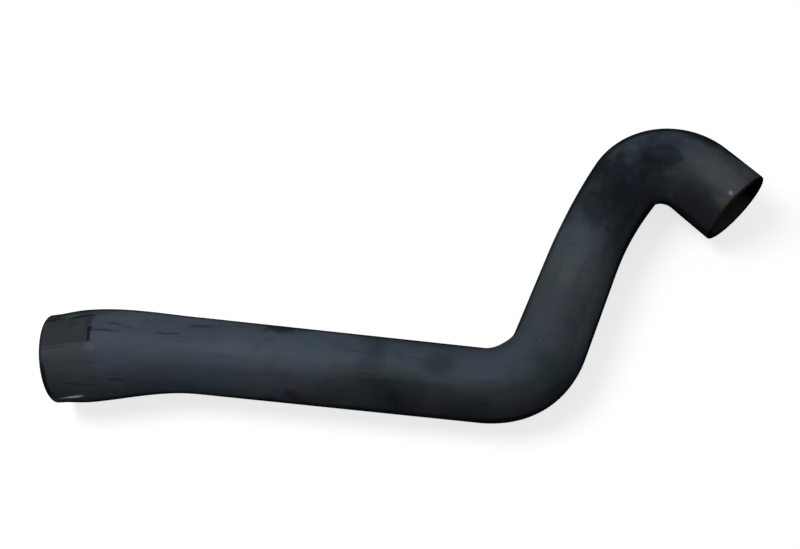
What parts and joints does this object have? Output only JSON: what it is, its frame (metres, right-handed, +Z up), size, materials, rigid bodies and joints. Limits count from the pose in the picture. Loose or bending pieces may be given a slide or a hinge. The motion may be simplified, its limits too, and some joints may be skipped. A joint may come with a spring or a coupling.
{
  "type": "cooler pipe",
  "caption": "Formed rubber cooler pipe: a wide cuff, a long straight run, a tight bend, a leaning riser, a second tight bend and a narrower end cuff, hollow from end to end.",
  "frame": {"origin": "centre of the bounding box's base, on the surface that the pipe lies on", "axes": "in plan +X runs along the long straight run, from the wide cuff to the first tight bend; +Y points from the run towards the second tight bend; +Z is up"},
  "size_m": [0.3868, 0.2042, 0.0509],
  "materials": {
    "rubber": "satin black, slightly blotched"
  },
  "bodies": {
    "root": {"hose": "rubber"}
  },
  "joints": []
}
